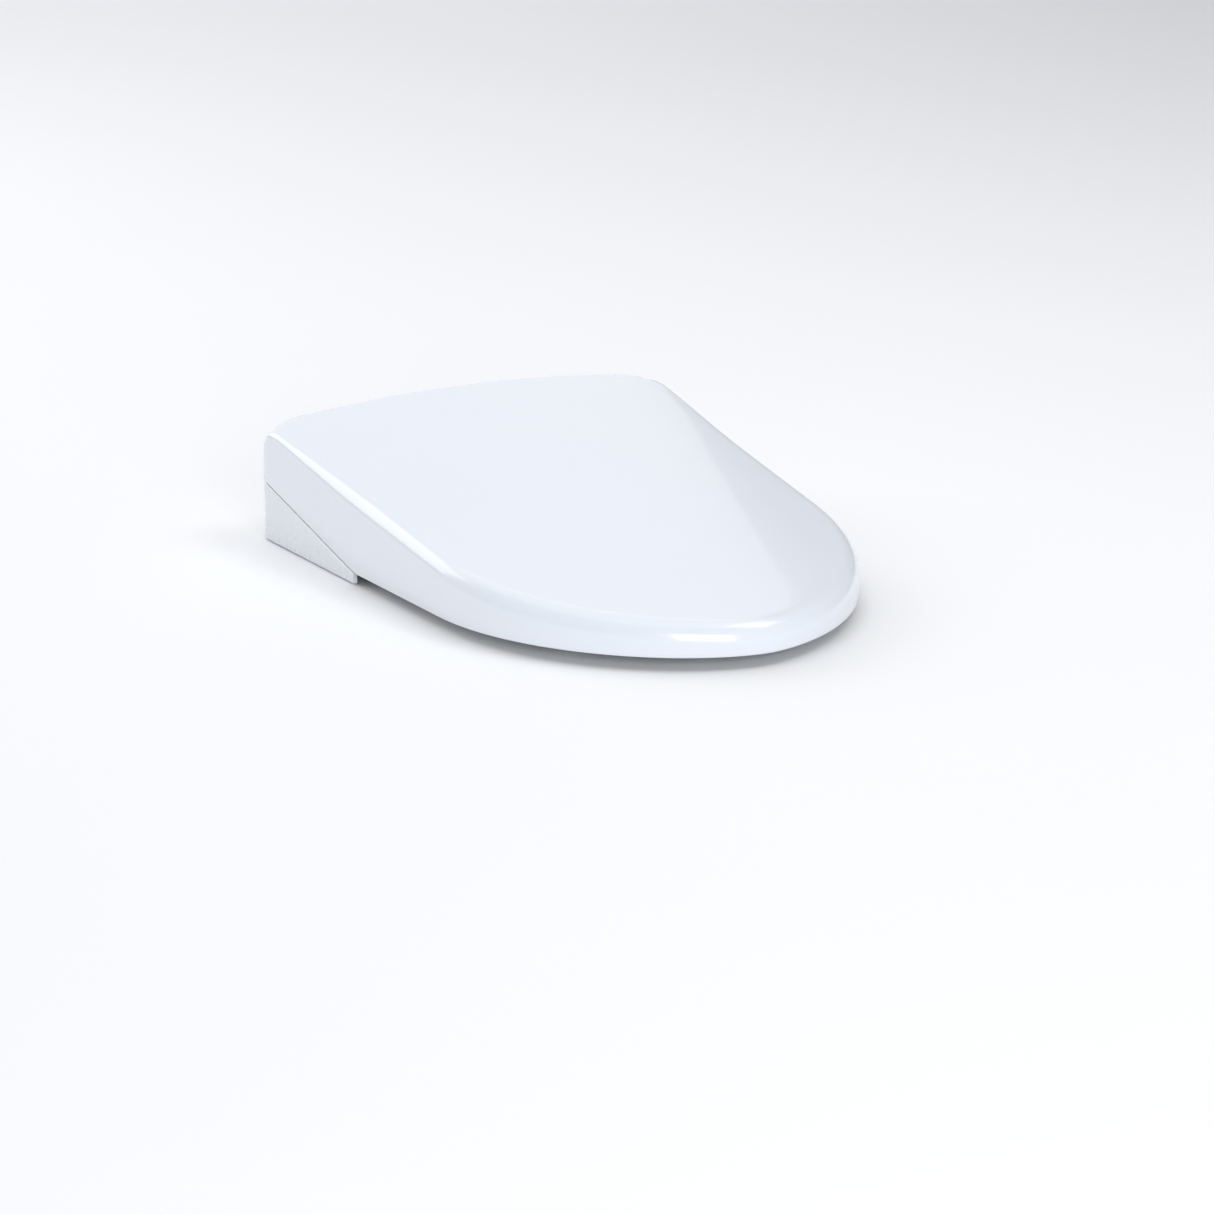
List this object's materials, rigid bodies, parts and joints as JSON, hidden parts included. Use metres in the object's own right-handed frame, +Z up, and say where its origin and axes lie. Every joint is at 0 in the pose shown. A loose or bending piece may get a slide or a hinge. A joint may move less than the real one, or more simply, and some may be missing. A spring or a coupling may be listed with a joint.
{
  "type": "electric bidet seat",
  "caption": "Elongated electric bidet seat with a one-piece sloping lid, heated ring, washing wand, warm-air dryer and deodorizer in a wedge-shaped rear unit.",
  "frame": {"origin": "midway between the two toilet bolt holes, on the plane of the toilet rim", "axes": "+Z up, -Y towards the front edge of the lid, +Y towards the tank, +X across to the right side seen from the front of the toilet looking at the tank"},
  "size_m": [0.384, 0.533, 0.113],
  "materials": {
    "lid_gloss": "glossy white moulded plastic",
    "seat_gloss": "glossy white moulded plastic",
    "case_gloss": "satin-gloss white moulded plastic",
    "case_matte": "fine-textured white plastic",
    "grey_plastic": "grey glass-filled plastic",
    "dark_plastic": "dark grey plastic",
    "button_grey": "satin grey plastic",
    "pad_rubber": "soft grey rubber",
    "bumper_rubber": "pale grey rubber",
    "steel": "turned stainless steel",
    "zinc": "zinc-plated pressed steel",
    "brass": "machined brass",
    "copper_alloy": "copper-coloured heating alloy",
    "board_green": "green solder-masked circuit board",
    "gear_plastic": "natural acetal",
    "smoked": "smoked translucent plastic",
    "lens": "frosted lens"
  },
  "bodies": {
    "base": {"base_plate": "case_matte", "bolt_plates": "zinc", "base_latch": "dark_plastic", "lower_case": "case_matte", "upper_case": "case_gloss", "deck_cover": "case_gloss", "rear_cover": "case_gloss", "side_cover_left": "case_gloss", "side_cover_right": "case_gloss", "case_screws": "steel", "rubber_pads": "pad_rubber", "nozzle_guide": "grey_plastic", "nozzle_motor": "zinc", "dryer_housing": "dark_plastic", "dryer_motor": "zinc", "dryer_heater": "copper_alloy", "deodorizer_housing": "dark_plastic", "deodorizer_motor": "zinc", "water_heater": "grey_plastic", "heating_element": "copper_alloy", "solenoid_valve": "dark_plastic", "diverter_valve": "case_matte", "inlet_fitting": "brass", "inlet_strainer": "steel", "water_pipes": "case_matte", "control_board": "board_green", "power_board": "board_green", "transformer": "brass", "cord_gland": "dark_plastic", "sensor_window": "smoked", "indicator_lens": "lens", "hinge_bushes": "gear_plastic", "seat_drive": "grey_plastic", "lid_drive": "grey_plastic"},
    "seat": {"seat_top": "seat_gloss", "seat_base": "case_matte", "seat_heater": "copper_alloy", "seat_arm_left": "seat_gloss", "seat_arm_right": "seat_gloss", "seat_bumpers": "bumper_rubber", "hinge_sleeves": "steel"},
    "lid": {"lid_shell": "lid_gloss", "lid_bracket_left": "case_matte", "lid_bracket_right": "case_matte", "hinge_pins": "steel", "lid_bumpers": "bumper_rubber"},
    "wand": {"nozzle_wand": "case_matte", "nozzle_tip": "case_matte", "nozzle_cap": "case_gloss"},
    "pinion": {"nozzle_pinion": "gear_plastic"},
    "impeller": {"dryer_impeller": "gear_plastic"},
    "flap": {"dryer_flap": "case_gloss"},
    "vent_fan": {"deodorizer_fan": "gear_plastic"},
    "cartridge": {"filter_cartridge": "case_matte"},
    "power_key": {"power_button": "button_grey"},
    "wash_key": {"wash_button": "button_grey"},
    "release_key": {"release_button": "button_grey"}
  },
  "joints": [
    {"name": "seat_hinge", "type": "hinge", "parent": "base", "child": "seat", "pos_m": [0, 0.042, 0.088], "axis": [1, 0, 0], "range_deg": [-98, 0]},
    {"name": "lid_hinge", "type": "hinge", "parent": "seat", "child": "lid", "pos_m": [0, 0.042, 0.088], "axis": [-1, 0, 0], "range_deg": [0, 98]},
    {"name": "wand_slide", "type": "slide", "parent": "base", "child": "wand", "axis": [0, -0.9135, -0.4067], "range_m": [0, 0.095]},
    {"name": "pinion_spin", "type": "hinge", "parent": "base", "child": "pinion", "pos_m": [0, -0.06076, 0.0361], "axis": [-1, 0, 0], "range_deg": [0, 910]},
    {"name": "dryer_flap_hinge", "type": "hinge", "parent": "base", "child": "flap", "pos_m": [0.078, -0.0766, 0.0245], "axis": [-1, 0, 0], "range_deg": [0, 40]},
    {"name": "dryer_impeller_spin", "type": "hinge", "parent": "base", "child": "impeller", "pos_m": [0.114, -0.032, 0.02], "axis": [0, 0, 1], "continuous": true},
    {"name": "vent_fan_spin", "type": "hinge", "parent": "base", "child": "vent_fan", "pos_m": [0.12, 0.031, 0.023], "axis": [1, 0, 0], "continuous": true},
    {"name": "filter_slide", "type": "slide", "parent": "base", "child": "cartridge", "axis": [1, 0, 0], "range_m": [0, 0.045]},
    {"name": "power_press", "type": "slide", "parent": "base", "child": "power_key", "axis": [-1, 0, 0], "range_m": [0, 0.0015], "stiffness_N_per_m": 400},
    {"name": "wash_press", "type": "slide", "parent": "base", "child": "wash_key", "axis": [-1, 0, 0], "range_m": [0, 0.0015], "stiffness_N_per_m": 400},
    {"name": "release_press", "type": "slide", "parent": "base", "child": "release_key", "axis": [-1, 0, 0], "range_m": [0, 0.0035], "stiffness_N_per_m": 500}
  ],
  "couplings": [
    {"joint": "pinion_spin", "follows": "wand_slide", "rad_per_m": 166.67}
  ]
}
